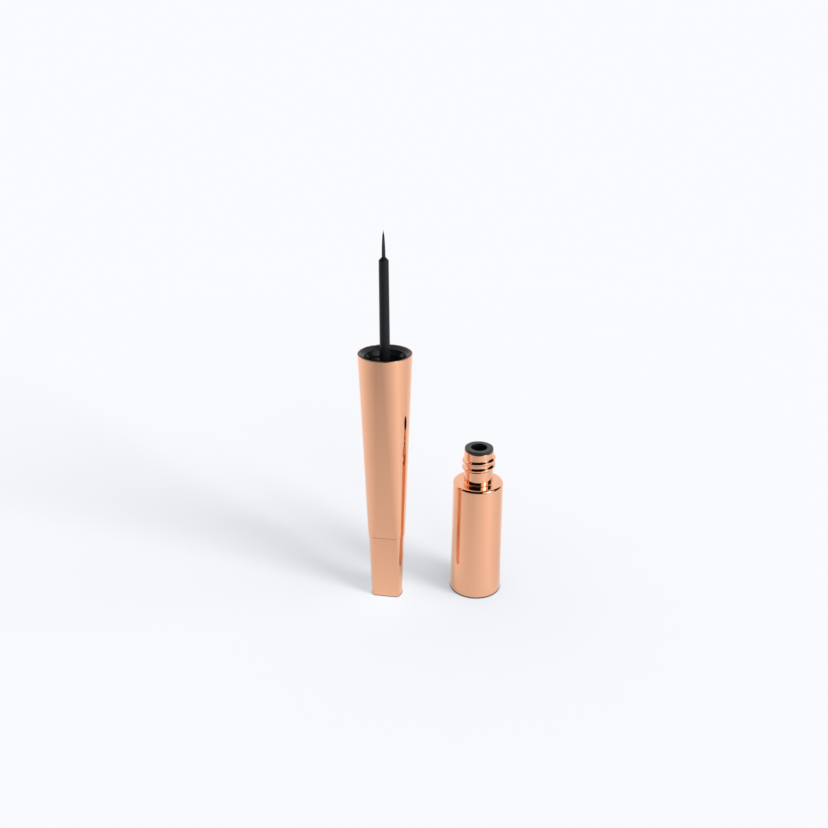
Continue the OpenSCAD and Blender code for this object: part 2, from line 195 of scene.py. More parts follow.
# Stem and brush
STEM_R = 1.42
STEM_TIP_R = 1.3
STEM_NOSE_R = 0.63
STEM_NOSE_LEN = 0.7
STEM_BORE_R = 0.9
STEM_FLANGE_R = 2.2
STEM_FLANGE_T = 0.6
STEM_ROW = 1.5
PLUG_R = 1.8
PLUG_LEN = 6.2
NOSE_HOLE_R = 0.52
NOSE_HOLE_LEN = 1.4
TUFT_R = 0.5
TUFT_ROOT = 0.25
TUFT_BEND_SHARE = 0.4
STRANDS = 420
STRAND_R = 0.036
STRAND_OVERRUN = 0.25
STRAND_POINTS = 14
STRAND_SIDES = 5
STRAND_TAPER_SHARE = 0.7
STRAND_TIP_SHARE = 0.6
SHORTEST_STRAND_SHARE = 0.8
LENGTH_SPREAD_SHARE = 0.05
BRISTLE_SEED = 4

# How wide the tuft still is at shares of its height, and at its tip
TUFT_WIDTH_SHARES = ((0.08, 0.97), (0.3, 0.9), (0.5, 0.78), (0.7, 0.62), (0.87, 0.4))
TUFT_TIP_SHARE = 0.1

# Camera, as solved from the photograph: its place in metres and its tilt in degrees below the level
CAMERA_PLACE = (-0.01828, -0.2254, 0.1533)
CAMERA_TILT = 23.4
CAMERA_LENS = 38.7
CAMERA_SENSOR = 36
CAMERA_NEAREST = 0.01

# Studio. An azimuth is turned from the camera's side to the right, and angles are in degrees.
BACKGROUND = "#F9FAFE"
WHITE = "#FFFFFF"
AMBIENT = (0.63, 0.63, 0.63, 1)
ROOM_COLOUR = "#141210"
ROOM_LEFT = -105
ROOM_RIGHT = 118
ROOM_LOW = 2
ROOM_SOFTNESS = 6
SCREEN_AZIMUTH = 50
SCREEN_ELEVATION = 32
SCREEN_GLOWS = ((29, 22, (1.25, 1.25, 1.27, 1)), (10, 4, (9, 9, 9, 1)))

# The lamps' names, azimuths, elevations, widths and strengths
LAMPS = (
    ("main_lamp", 58, 17, 26, 2.5),
    ("side_lamp", 82, 22, 40, 0.75),
    ("front_lamp", 20, 22, 30, 0.4),
)

# Table, in metres where a size isn't named otherwise
TABLE_HALF = 2.0
TABLE_PLAIN_FROM = 0.24
TABLE_PLAIN_TO = 0.42
TABLE_SHEEN = "#3A3B3D"
TABLE_SHEEN_ROUGHNESS = 0.5
# Painted shade that only the metal sees: how much darker the table is painted, near, far and to the side
NEAR_REACH = 0.01
NEAR_LOSS = 0.16
FAR_REACH = 0.18
FAR_LOSS = 0.53
FRONT_LOSS_AZIMUTHS = (-33, 10, 78)
SIDE_LOSS_AZIMUTHS = (105, 5, 55)
SIDE_LOSS = 0.15
# Painted glow: emission on the table near the feet, standing in for light that the metal throws there
PAINTED_GLOW_REACH_MM = 22
PAINTED_GLOW_STRENGTH = 0.22
# Painted shade: a dark line painted on the table where a piece touches it
CONTACT_REACH_MM = 0.8
CONTACT_FROM = 0.22
CONTACT_FULL = 0.72
CONTACT_SHADE_COLOUR = "#4A3630"
HIDDEN_SAMPLES = 8


def linear(hex_colour):
    """The linear colour of an sRGB hex value, with full alpha."""
    shares = [int(hex_colour[i : i + 2], 16) / 255 for i in (1, 3, 5)]
    return [s / 12.92 if s <= 0.04045 else ((s + 0.055) / 1.055) ** 2.4 for s in shares] + [1.0]


def add_node(tree, kind, inputs=None, **settings):
    """Adds a node to a tree and returns its outputs. Each input is a value, or an output to link it to."""
    node = tree.nodes.new(kind)
    for name, value in settings.items():
        setattr(node, name, value)
    for key, value in (inputs or {}).items():
        if isinstance(value, bpy.types.NodeSocket):
            tree.links.new(value, node.inputs[key])
        else:
            node.inputs[key].default_value = value
    return node.outputs


# Camera


def place_camera():
    """The photograph's view, for a square picture: from above the table, straight on, with no roll."""
    camera = bpy.data.objects.new("camera", bpy.data.cameras.new("camera"))
    bpy.context.scene.collection.objects.link(camera)
    camera.data.sensor_width = CAMERA_SENSOR
    camera.data.lens = CAMERA_LENS
    camera.data.clip_start = CAMERA_NEAREST
    camera.location = CAMERA_PLACE
    camera.rotation_euler = (math.radians(90 - CAMERA_TILT), 0, 0)
    bpy.context.scene.camera = camera


# Materials


def new_material(name, **constants):
    """A material with a Principled shader, and the shader's sockets that are the same all over."""
    material = bpy.data.materials.new(name)
    material.use_nodes = True
    tree = material.node_tree
    shader = tree.nodes["Principled BSDF"]
    for key, value in constants.items():
        shader.inputs[key.replace("_", " ")].default_value = value
    place = add_node(tree, "ShaderNodeTexCoord")["Object"]
    return material, tree, shader, place


def per_mm(feature_mm):
    """The scale at which a noise pattern's features have this size."""
    return 1 / (feature_mm * MM)


def apply_patterns(tree, shader, share, tints, roughness=None, relief=None):
    """Lets patterns drive a shader: a share tints it between two colours, and a material that has them gets a
    roughness range and a relief, each given as its node's inputs."""
    first, second = tints
    colour = add_node(
        tree, "ShaderNodeMix", {0: share, 6: linear(first), 7: linear(second)}, data_type="RGBA"
    )
    tree.links.new(colour[2], shader.inputs["Base Color"])
    if roughness:
        rough = add_node(tree, "ShaderNodeMapRange", roughness)
        tree.links.new(rough["Result"], shader.inputs["Roughness"])
    if relief:
        bump = add_node(tree, "ShaderNodeBump", relief)
        tree.links.new(bump["Normal"], shader.inputs["Normal"])


def metallised_plastic():
    """Injection-moulded plastic, vacuum metallised and lacquered in rose gold. The eye sees a coloured mirror
    with a clear coat, a faint orange peel from the lacquer, and no grain."""
    material, tree, shader, place = new_material(
        "rose_gold_metallised_plastic", Metallic=1.0, Coat_Weight=0.1, Coat_Roughness=0.05
    )
    cloud, haze, peel = (
        add_node(tree, "ShaderNodeTexNoise", {"Vector": place, "Scale": per_mm(mm), "Detail": detail})["Fac"]
        for mm, detail in ((9, 2.0), (0.5, 3.0), (1.4, 1.0))
    )
    roughness = {"Value": haze, "To Min": 0.055, "To Max": 0.085}
    relief = {"Height": peel, "Strength": 0.06, "Distance": 0.01 * MM}
    apply_patterns(tree, shader, cloud, ("#F2B592", "#F5B996"), roughness, relief)
    return material


def moulded_black(name, tints, roughness, grain_mm, level):
    """Black moulded polyolefin: a dense black with a slightly uneven gloss and a faint moulding texture."""
    material, tree, shader, place = new_material(name, Specular_IOR_Level=level)
    cloud, grain = (
        add_node(tree, "ShaderNodeTexNoise", {"Vector": place, "Scale": per_mm(mm), "Detail": detail})["Fac"]
        for mm, detail in ((2.5, 4.0), (grain_mm, 2.0))
    )
    smooth, dull = roughness
    spread = {"Value": cloud, "From Min": 0.3, "From Max": 0.7, "To Min": smooth, "To Max": dull}
    relief = {"Height": grain, "Strength": 0.5, "Distance": 0.002 * MM}
    apply_patterns(tree, shader, cloud, tints, spread, relief)
    return material


def closed_cell_foam():
    """Dark grey polyethylene foam, cut from sheet: matt, with fine pits where cells are cut open. The pits
    are painted a little darker, as painted shade.
    """
    material, tree, shader, place = new_material("dark_foam", Roughness=0.9)
    cells = add_node(tree, "ShaderNodeTexVoronoi", {"Vector": place, "Scale": per_mm(0.22)})
    pits = cells["Distance"]
    relief = {"Height": pits, "Strength": 0.8, "Distance": 0.04 * MM}
    # The pits tint the colour darker as well as sinking it: painted shade in the cut cells.
    apply_patterns(tree, shader, pits, ("#2C2C30", "#47474C"), relief=relief)
    return material


def wet_liner():
    """Carbon black liner: a wet black liquid with a mirror surface and slow ripples."""
    material, tree, shader, place = new_material("wet_black_liner", Roughness=0.04, IOR=1.36)
    ripple = add_node(tree, "ShaderNodeTexNoise", {"Vector": place, "Scale": per_mm(3)})["Fac"]
    relief = {"Height": ripple, "Strength": 0.2, "Distance": 0.05 * MM}
    apply_patterns(tree, shader, ripple, ("#070708", "#0E0E11"), relief=relief)
    return material


def natural_acetal():
    """Natural acetal, turned: a cool grey with the rings that the tool leaves, drawn coarser than real."""
    material, tree, shader, place = new_material("grey_acetal", Roughness=0.38)
    # This texture has a band for every 2 pi / 20 of a unit, so the rings come out 0.94 mm apart.
    rings = add_node(
        tree,
        "ShaderNodeTexWave",
        {"Vector": place, "Scale": per_mm(0.15) / 20, "Distortion": 0.4, "Detail": 1.0},
        bands_direction="Z",
    )
    apply_patterns(tree, shader, rings["Fac"], ("#86868B", "#96969A"))
    return material


def black_filament():
    """Drawn nylon filament, dampened with liner: near black, with a soft sheen along each strand."""
    material, tree, shader, place = new_material("black_nylon_filament", Coat_Weight=0.25, Coat_Roughness=0.2)
    streak_scale = (per_mm(0.06), per_mm(0.06), per_mm(1.2))
    streak = add_node(tree, "ShaderNodeMapping", {"Vector": place, "Scale": streak_scale})
    tone = add_node(tree, "ShaderNodeTexNoise", {"Vector": streak["Vector"], "Scale": 1.0})["Fac"]
    roughness = {"Value": tone, "To Min": 0.35, "To Max": 0.55}
    apply_patterns(tree, shader, tone, ("#0D0D10", "#1D1D21"), roughness=roughness)
    return material


# Mesh building


def rounded(corners, guard=0.05, steps=8):
    """An outline through corners (radius, height, fillet, share). A fillet becomes an arc with a guard point
    at each end, which keeps the flats beside it flat in reflections. Each point keeps its corner's share."""
    outline = []
    for i, (radius, height, fillet, share) in enumerate(corners):
        here = np.array([radius, height])
        if not fillet:
            outline.append([radius, height, share])
            continue
        back = np.array(corners[i - 1][:2]) - here
        ahead = np.array(corners[(i + 1) % len(corners)][:2]) - here
        back /= np.linalg.norm(back)
        ahead /= np.linalg.norm(ahead)
        half_angle = math.acos(float(back @ ahead)) / 2
        reach = fillet / math.tan(half_angle)
        inward = (back + ahead) / np.linalg.norm(back + ahead)
        centre = here + inward * fillet / math.sin(half_angle)
        start = here + back * reach - centre
        end = here + ahead * reach - centre
        first = math.atan2(start[1], start[0])
        sweep = (math.atan2(end[1], end[0]) - first + math.pi) % (2 * math.pi) - math.pi
        outline.append([*(here + back * (reach + guard)), share])
        for k in range(steps + 1):
            angle = first + sweep * k / steps
            outline.append([*(centre + fillet * np.array([math.cos(angle), math.sin(angle)])), share])
        outline.append([*(here + ahead * (reach + guard)), share])
    return outline


def with_rows(outline, low, high, row):
    """The outline with points no more than a row apart on the stretches that lie between two heights."""
    dense = [outline[0]]
    for a, b in zip(outline, outline[1:]):
        a, b = np.array(a), np.array(b)
        inside = min(a[1], b[1]) >= low and max(a[1], b[1]) <= high
        count = max(1, math.ceil(abs(b[1] - a[1]) / row)) if inside else 1
        dense += [list(a + (b - a) * k / count) for k in range(1, count + 1)]
    return dense


def tube_faces(rows, columns, closed):
    """Quads of a tube of rows of points, from the first row to the last, and back to the first if closed."""
    last = rows if closed else rows - 1
    return [
        (
            i * columns + j,
            i * columns + (j + 1) % columns,
            (i + 1) % rows * columns + (j + 1) % columns,
            (i + 1) % rows * columns + j,
        )
        for i in range(last)
        for j in range(columns)
    ]


def new_mesh(name, points, faces):
    mesh = bpy.data.meshes.new(name)
    mesh.from_pydata([list(map(float, p)) for p in points], [], faces)
    return mesh


def revolved_mesh(name, outline, closed, columns=240):
    """The outline turned round the Z axis. Points on the axis are merged into poles later, in the tree."""
    turns = [2 * math.pi * j / columns for j in range(columns)]
    points = [
        (radius * math.cos(turn) * MM, radius * math.sin(turn) * MM, height * MM)
        for radius, height, _ in outline
        for turn in turns
    ]
    return new_mesh(name, points, tube_faces(len(outline), columns, closed))


def section_path():
    """Once round the handle's section from its flat front, as a side and a direction for each point. The side
    is 1 on the right, -1 on the left and between them on the flat. The direction is where the point faces."""
    sides = [-0.96, -0.6, -0.2, 0.2, 0.6, 0.96]
    angles = [-math.pi / 2] * len(sides)
    turn_steps = 90
    for k in range(turn_steps + 1):
        sides.append(1)
        angles.append(-math.pi / 2 + math.pi * k / turn_steps)
    for k in range(1, turn_steps + 1):
        sides.append(-1)
        angles.append(math.pi / 2 + math.pi * k / turn_steps)
    return sides, [(math.cos(angle), math.sin(angle)) for angle in angles]


def section_mesh(name, outline, half_at):
    """A tube with a row for each point of the outline and a column for each point of the section's path. Its
    attributes say where each point belongs, and the loft tree puts it there."""
    sides, directions = section_path()
    rows, columns = len(outline), len(sides)
    mesh = new_mesh(name, np.zeros((rows * columns, 3)), tube_faces(rows, columns, True))
    values = {
        "height": [height * MM for _, height, _ in outline for _ in sides],
        "inset": [(half_at(height) - half) * MM for half, height, _ in outline for _ in sides],
        "roundness": [share for _, _, share in outline for _ in sides],
        "side": sides * rows,
    }
    for key, numbers in values.items():
        mesh.attributes.new(key, "FLOAT", "POINT").data.foreach_set("value", numbers)
    flat = np.zeros((rows, columns, 3))
    flat[:, :, :2] = directions
    mesh.attributes.new("direction", "FLOAT_VECTOR", "POINT").data.foreach_set("vector", flat.ravel())
    return mesh


# Geometry trees


def new_tree(name, numbers=(), whole_numbers=()):
    """A geometry tree whose inputs are a geometry, the named numbers and the piece's material."""
    tree = bpy.data.node_groups.new(name, "GeometryNodeTree")
    kinds = {label: "Float" for label in numbers} | {label: "Int" for label in whole_numbers}
    for label, kind in ({"Geometry": "Geometry"} | kinds | {"Material": "Material"}).items():
        tree.interface.new_socket(label, in_out="INPUT", socket_type=f"NodeSocket{kind}")
    tree.interface.new_socket("Geometry", in_out="OUTPUT", socket_type="NodeSocketGeometry")
    entry = add_node(tree, "NodeGroupInput")
    return tree, entry


def close_tree(tree, entry, geometry):
    """Ends a tree: instances made real, near points merged, and the piece's material set."""
    real = add_node(tree, "GeometryNodeRealizeInstances", {"Geometry": geometry})
    merged = add_node(
        tree, "GeometryNodeMergeByDistance", {"Geometry": real[0], "Distance": MERGE_WITHIN * MM}
    )
    finished = add_node(
        tree, "GeometryNodeSetMaterial", {"Geometry": merged[0], "Material": entry["Material"]}
    )
    add_node(tree, "NodeGroupOutput", {"Geometry": finished[0]})
    return tree


def loft_tree():
    """Puts a section tube's points on a form that changes from a flat-fronted section to a round one. The way
    a point faces gives the arc that it belongs to: an edge of the flat, a side, or the back."""
    measures = ("half width", "middle", "side radius", "edge radius", "side turn")
    sizes = [f"{end} {measure}" for end in ("Low", "High") for measure in ("height", *measures)]
    tree, entry = new_tree("flat_fronted_loft", [*sizes, "Side power", "Edge power", "Least edge radius"])
    stored = {
        key: add_node(tree, "GeometryNodeInputNamedAttribute", {"Name": key}, data_type="FLOAT")[0]
        for key in ("height", "inset", "roundness", "side")
    }
    direction = add_node(
        tree, "GeometryNodeInputNamedAttribute", {"Name": "direction"}, data_type="FLOAT_VECTOR"
    )[0]
    rise = add_node(
        tree,
        "ShaderNodeMapRange",
        {"Value": stored["height"], "From Min": entry["Low height"], "From Max": entry["High height"]},
        clamp=False,
    )[0]
    side_rise = add_node(tree, "ShaderNodeMath", {0: rise, 1: entry["Side power"]}, operation="POWER")[0]
    edge_rise = add_node(tree, "ShaderNodeMath", {0: rise, 1: entry["Edge power"]}, operation="POWER")[0]
    full = {
        measure: add_node(
            tree,
            "ShaderNodeMix",
            {0: share, 2: entry[f"Low {measure}"], 3: entry[f"High {measure}"]},
            clamp_factor=False,
        )[0]
        for measure, share in zip(measures, (rise, rise, side_rise, edge_rise, rise))
    }
    half, side_less, edge_less = (
        add_node(tree, "ShaderNodeMath", {0: full[measure], 1: stored["inset"]}, operation="SUBTRACT")[0]
        for measure in ("half width", "side radius", "edge radius")
    )
    edge_kept = add_node(
        tree, "ShaderNodeMath", {0: edge_less, 1: entry["Least edge radius"]}, operation="MAXIMUM"
    )[0]
    side_r, edge_r, middle = (
        add_node(tree, "ShaderNodeMix", {0: stored["roundness"], 2: formed, 3: if_round})[0]
        for formed, if_round in ((side_less, half), (edge_kept, half), (full["middle"], 0.0))
    )

    turn_cosine = add_node(tree, "ShaderNodeMath", {0: full["side turn"]}, operation="COSINE")[0]
    turn_sine = add_node(tree, "ShaderNodeMath", {0: full["side turn"]}, operation="SINE")[0]
    less = add_node(tree, "ShaderNodeMath", {0: side_r, 1: edge_r}, operation="SUBTRACT")[0]
    side_x = add_node(tree, "ShaderNodeMath", {0: half, 1: side_r}, operation="SUBTRACT")[0]
    side_y = add_node(tree, "ShaderNodeMath", {0: middle, 1: -1.0}, operation="MULTIPLY")[0]
    edge_x = add_node(
        tree, "ShaderNodeMath", {0: less, 1: turn_cosine, 2: side_x}, operation="MULTIPLY_ADD"
    )[0]
    forward = add_node(tree, "ShaderNodeMath", {0: less, 1: turn_sine}, operation="MULTIPLY")[0]
    edge_y = add_node(tree, "ShaderNodeMath", {0: side_y, 1: forward}, operation="SUBTRACT")[0]

    facing = add_node(tree, "ShaderNodeSeparateXYZ", {0: direction})["Y"]
    to_front = add_node(tree, "ShaderNodeMath", {0: facing, 1: -1.0}, operation="MULTIPLY")[0]
    on_edge = add_node(tree, "FunctionNodeCompare", {0: to_front, 1: turn_sine}, operation="GREATER_THAN")[0]
    on_back = add_node(tree, "FunctionNodeCompare", {0: facing, 1: 0.0}, operation="GREATER_THAN")[0]
    front_x, front_r, centre_y = (
        add_node(tree, "ShaderNodeMix", {0: on_edge, 2: side_value, 3: edge_value})[0]
        for side_value, edge_value in ((side_x, edge_x), (side_r, edge_r), (side_y, edge_y))
    )
    beside = add_node(tree, "ShaderNodeMix", {0: on_back, 2: front_x, 3: 0.0})[0]
    radius = add_node(tree, "ShaderNodeMix", {0: on_back, 2: front_r, 3: half})[0]
    centre_x = add_node(tree, "ShaderNodeMath", {0: beside, 1: stored["side"]}, operation="MULTIPLY")[0]
    centre = add_node(tree, "ShaderNodeCombineXYZ", {"X": centre_x, "Y": centre_y, "Z": stored["height"]})[0]
    arc = add_node(tree, "ShaderNodeVectorMath", {0: direction, "Scale": radius}, operation="SCALE")[0]
    place = add_node(tree, "ShaderNodeVectorMath", {0: centre, 1: arc}, operation="ADD")[0]
    moved = add_node(tree, "GeometryNodeSetPosition", {"Geometry": entry["Geometry"], "Position": place})
    return close_tree(tree, entry, moved[0])


def thread_tree():
    """Raises a helical ridge on a turned surface. Each point finds the pass of the helix nearest to its
    height, and moves out by the ridge's rounded section, which runs out at both ends."""
    route = ("Start height", "Start direction", "Pitch", "Turns", "Fade turns")
    ridge = ("Ridge", "Root half height", "Crest half height")
    tree, entry = new_tree("screw_thread", (*route, *ridge, "Least radius", "Most radius"))
    position = add_node(tree, "GeometryNodeInputPosition")[0]
    xyz = add_node(tree, "ShaderNodeSeparateXYZ", {0: position})
    angle = add_node(tree, "ShaderNodeMath", {0: xyz["Y"], 1: xyz["X"]}, operation="ARCTAN2")[0]
    from_start = add_node(
        tree, "ShaderNodeMath", {0: angle, 1: entry["Start direction"]}, operation="SUBTRACT"
    )[0]
    turned = add_node(tree, "ShaderNodeMath", {0: from_start, 1: 2 * math.pi}, operation="DIVIDE")[0]
    turn_share = add_node(tree, "ShaderNodeMath", {0: turned}, operation="FRACT")[0]
    above = add_node(tree, "ShaderNodeMath", {0: xyz["Z"], 1: entry["Start height"]}, operation="SUBTRACT")[0]
    pitches = add_node(tree, "ShaderNodeMath", {0: above, 1: entry["Pitch"]}, operation="DIVIDE")[0]
    ahead = add_node(tree, "ShaderNodeMath", {0: pitches, 1: turn_share}, operation="SUBTRACT")[0]
    nearest = add_node(tree, "ShaderNodeMath", {0: ahead}, operation="ROUND")[0]
    off = add_node(tree, "ShaderNodeMath", {0: ahead, 1: nearest}, operation="SUBTRACT")[0]
    off_height = add_node(tree, "ShaderNodeMath", {0: off, 1: entry["Pitch"]}, operation="MULTIPLY")[0]
    distance = add_node(tree, "ShaderNodeMath", {0: off_height}, operation="ABSOLUTE")[0]
    section = add_node(
        tree,
        "ShaderNodeMapRange",
        {"Value": distance, "From Min": entry["Root half height"], "From Max": entry["Crest half height"]},
    )[0]
    travelled = add_node(tree, "ShaderNodeMath", {0: turn_share, 1: nearest}, operation="ADD")[0]
    left = add_node(tree, "ShaderNodeMath", {0: entry["Turns"], 1: travelled}, operation="SUBTRACT")[0]
    to_end = add_node(tree, "ShaderNodeMath", {0: travelled, 1: left}, operation="MINIMUM")[0]
    fade = add_node(
        tree,
        "ShaderNodeMapRange",
        {"Value": to_end, "From Max": entry["Fade turns"]},
        interpolation_type="SMOOTHERSTEP",
    )[0]
    ground = add_node(tree, "ShaderNodeCombineXYZ", {"X": xyz["X"], "Y": xyz["Y"]})[0]
    radius = add_node(tree, "ShaderNodeVectorMath", {0: ground}, operation="LENGTH")["Value"]
    wide_enough = add_node(
        tree, "FunctionNodeCompare", {0: radius, 1: entry["Least radius"]}, operation="GREATER_THAN"
    )[0]
    not_too_wide = add_node(
        tree, "FunctionNodeCompare", {0: radius, 1: entry["Most radius"]}, operation="LESS_THAN"
    )[0]
    on_wall = add_node(tree, "FunctionNodeBooleanMath", {0: wide_enough, 1: not_too_wide}, operation="AND")[0]
    raised = add_node(tree, "ShaderNodeMath", {0: section, 1: fade}, operation="MULTIPLY")[0]
    push = add_node(tree, "ShaderNodeMath", {0: raised, 1: entry["Ridge"]}, operation="MULTIPLY")[0]
    outward = add_node(tree, "ShaderNodeVectorMath", {0: ground}, operation="NORMALIZE")[0]
    offset = add_node(tree, "ShaderNodeVectorMath", {0: outward, "Scale": push}, operation="SCALE")[0]
    moved = add_node(
        tree,
        "GeometryNodeSetPosition",
        {"Geometry": entry["Geometry"], "Selection": on_wall, "Offset": offset},
    )
    return close_tree(tree, entry, moved[0])


def plain_tree():
    """For a turned piece with no thread: merges near points and sets the material."""
    tree, entry = new_tree("turned_piece")
    return close_tree(tree, entry, entry["Geometry"])


def bristle_tree():
    """A round tuft: strands stand on a sunflower pattern, draw in along the tuft's outline, and end short of
    the tip by more the further out they stand."""
    sizes = ("Root radius", "Root height", "Length", "Strand radius", "Shortest share")
    tree, entry = new_tree("bristle_tuft", sizes, ("Strands", "Seed"))
    golden_turn = math.pi * (3 - math.sqrt(5))
    line = add_node(tree, "GeometryNodeCurvePrimitiveLine", {"Start": (0, 0, 0), "End": (0, 0, 1)})
    even = add_node(tree, "GeometryNodeResampleCurve", {"Curve": line[0], "Count": STRAND_POINTS})
    strands = add_node(
        tree,
        "GeometryNodeDuplicateElements",
        {"Geometry": even[0], "Amount": entry["Strands"]},
        domain="SPLINE",
    )
    number = strands["Duplicate Index"]
    along = add_node(tree, "GeometryNodeSplineParameter")["Factor"]
    count = add_node(tree, "ShaderNodeMath", {0: number, 1: 0.5}, operation="ADD")[0]
    area_share = add_node(tree, "ShaderNodeMath", {0: count, 1: entry["Strands"]}, operation="DIVIDE")[0]
    reach_share = add_node(tree, "ShaderNodeMath", {0: area_share}, operation="SQRT")[0]
    turn = add_node(tree, "ShaderNodeMath", {0: number, 1: golden_turn}, operation="MULTIPLY")[0]
    spread = add_node(
        tree,
        "FunctionNodeRandomValue",
        {2: -LENGTH_SPREAD_SHARE, 3: LENGTH_SPREAD_SHARE, "ID": number, "Seed": entry["Seed"]},
    )[1]
    drop = add_node(tree, "ShaderNodeMath", {0: 1.0, 1: entry["Shortest share"]}, operation="SUBTRACT")[0]
    shortening = add_node(tree, "ShaderNodeMath", {0: drop, 1: reach_share}, operation="MULTIPLY")[0]
    ragged = add_node(tree, "ShaderNodeMath", {0: shortening, 1: spread}, operation="ADD")[0]
    kept = add_node(tree, "ShaderNodeMath", {0: ragged, 1: 0.0}, operation="MAXIMUM")[0]
    length_share = add_node(tree, "ShaderNodeMath", {0: 1.0, 1: kept}, operation="SUBTRACT")[0]
    rise = add_node(tree, "ShaderNodeMath", {0: along, 1: length_share}, operation="MULTIPLY")[0]
    outline = add_node(tree, "ShaderNodeFloatCurve", {"Value": rise})[0]
    mapping = outline.node.mapping
    curve = mapping.curves[0]
    curve.points[0].location = (0, 1)
    curve.points[1].location = (1, TUFT_TIP_SHARE)
    for height_share, width_share in TUFT_WIDTH_SHARES:
        curve.points.new(height_share, width_share)
    mapping.update()
    root_reach = add_node(
        tree, "ShaderNodeMath", {0: reach_share, 1: entry["Root radius"]}, operation="MULTIPLY"
    )[0]
    reach = add_node(tree, "ShaderNodeMath", {0: root_reach, 1: outline}, operation="MULTIPLY")[0]
    cosine = add_node(tree, "ShaderNodeMath", {0: turn}, operation="COSINE")[0]
    sine = add_node(tree, "ShaderNodeMath", {0: turn}, operation="SINE")[0]
    height = add_node(tree, "ShaderNodeMath", {0: rise, 1: entry["Length"]}, operation="MULTIPLY")[0]
    place_x = add_node(tree, "ShaderNodeMath", {0: reach, 1: cosine}, operation="MULTIPLY")[0]
    place_y = add_node(tree, "ShaderNodeMath", {0: reach, 1: sine}, operation="MULTIPLY")[0]
    place_z = add_node(tree, "ShaderNodeMath", {0: height, 1: entry["Root height"]}, operation="ADD")[0]
    place = add_node(tree, "ShaderNodeCombineXYZ", {"X": place_x, "Y": place_y, "Z": place_z})[0]
    moved = add_node(tree, "GeometryNodeSetPosition", {"Geometry": strands["Geometry"], "Position": place})
    taper = add_node(
        tree,
        "ShaderNodeMapRange",
        {"Value": along, "From Min": STRAND_TAPER_SHARE, "To Min": 1.0, "To Max": STRAND_TIP_SHARE},
    )[0]
    thickness = add_node(
        tree, "ShaderNodeMath", {0: taper, 1: entry["Strand radius"]}, operation="MULTIPLY"
    )[0]
    ring = add_node(tree, "GeometryNodeCurvePrimitiveCircle", {"Resolution": STRAND_SIDES, "Radius": 1.0})
    solid = add_node(
        tree,
        "GeometryNodeCurveToMesh",
        {"Curve": moved[0], "Profile Curve": ring[0], "Scale": thickness, "Fill Caps": True},
    )
    real = add_node(tree, "GeometryNodeRealizeInstances", {"Geometry": solid[0]})
    finished = add_node(tree, "GeometryNodeSetMaterial", {"Geometry": real[0], "Material": entry["Material"]})
    add_node(tree, "NodeGroupOutput", {"Geometry": finished[0]})
    return tree


def grown(name, mesh, tree, values):
    """Runs a tree on a mesh and keeps the result as a plain, smooth-shaded mesh in a new object."""
    draft = bpy.data.objects.new(f"{name}_draft", mesh)
    bpy.context.scene.collection.objects.link(draft)
    modifier = draft.modifiers.new("tree", "NODES")
    modifier.node_group = tree
    for item in tree.interface.items_tree:
        if item.in_out == "INPUT" and item.name in values:
            modifier[item.identifier] = values[item.name]
    graph = bpy.context.evaluated_depsgraph_get()
    result = bpy.data.meshes.new_from_object(draft.evaluated_get(graph))
    result.name = name
    draft.modifiers.clear()
    bpy.data.objects.remove(draft)
    bpy.data.meshes.remove(mesh)
    for key in [a.name for a in result.attributes if not (a.is_internal or a.is_required)]:
        result.attributes.remove(result.attributes[key])
    result.shade_smooth()
    piece = bpy.data.objects.new(name, result)
    bpy.context.scene.collection.objects.link(piece)
    return piece


def stand_on_handle(piece):
    """Puts a piece that was made about the Z axis on the handle's axis, turned as the handle is."""
    place = Matrix.Translation((HANDLE_AXIS.x, HANDLE_AXIS.y, 0))
    piece.data.transform(place @ Matrix.Rotation(HANDLE_TURN, 4, "Z"))
    return piece


# Pieces


def thread_values(start_z, direction, turns, ridge, wall_r):
    """What the thread tree needs for a thread on a wall of this radius. A female ridge is negative."""
    return {
        "Start height": start_z * MM,
        "Start direction": direction,
        "Pitch": THREAD_PITCH * MM,
        "Turns": turns,
        "Ridge": ridge * MM,
        "Root half height": RIDGE_ROOT_HALF * MM,
        "Crest half height": RIDGE_CREST_HALF * MM,
        "Fade turns": RIDGE_FADE_TURN,
        "Least radius": (wall_r - SNUG) * MM,
        "Most radius": (wall_r + SNUG) * MM,
    }


def bottle_outline():
    under = SHOULDER_Z - BOTTLE_WALL
    corners = [
        (0, 0, 0, 0),
        (FOOT_R, 0, FOOT_EDGE, 0),
        (SHOULDER_R, SHOULDER_Z, SHOULDER_EDGE, 0),
        (NECK_R, SHOULDER_Z, NECK_ROOT, 0),
        (NECK_R, NECK_TOP, NECK_EDGE, 0),
        (NECK_BORE_R, NECK_TOP, THIN, 0),
        (NECK_BORE_R, under, SOFT, 0),
        (SHOULDER_R - BOTTLE_WALL, under, CAVITY_EDGE, 0),
        (FOOT_R - BOTTLE_WALL, BOTTLE_FLOOR, CAVITY_EDGE, 0),
        (0, BOTTLE_FLOOR, 0, 0),
    ]
    return rounded(corners)


def make_bottle(tree, material):
    outline = with_rows(bottle_outline(), SHOULDER_Z + NECK_ROOT, NECK_TOP - NECK_EDGE, THREAD_ROW)
    mesh = revolved_mesh("bottle_moulding", outline, closed=False)
    values = thread_values(NECK_THREAD_START, NECK_THREAD_DIRECTION, NECK_THREAD_TURNS, NECK_RIDGE, NECK_R)
    return grown("bottle_moulding", mesh, tree, values | {"Material": material})


